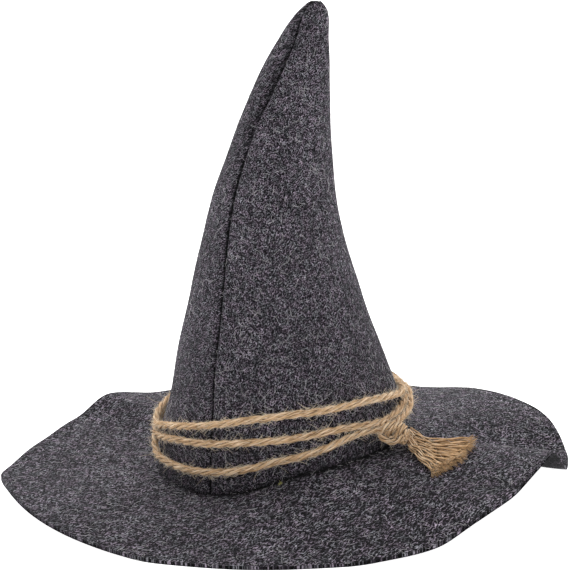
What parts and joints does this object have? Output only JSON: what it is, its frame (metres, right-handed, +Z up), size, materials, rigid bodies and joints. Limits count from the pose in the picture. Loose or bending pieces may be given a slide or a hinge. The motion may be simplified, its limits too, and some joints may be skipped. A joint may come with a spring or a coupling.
{
  "type": "wizard hat",
  "caption": "Pointed felt hat with a curved two-panel crown, a waved brim and a wound jute cord tied in a knot with a tassel.",
  "frame": {"origin": "middle of the hat's box at the surface it rests on", "axes": "+Z up, -Y towards the front, where the cord's knot and tassel lie to the right, +X to the right"},
  "size_m": [0.4486, 0.4295, 0.364],
  "materials": {
    "felt": "pressed charcoal felt, heathered with paler fibres",
    "jute": "twisted natural jute with loose fibres"
  },
  "bodies": {
    "root": {"brim": "felt", "crown_right_panel": "felt", "crown_left_panel": "felt", "cord_band": "jute", "knot": "jute", "tassel": "jute"}
  },
  "joints": []
}
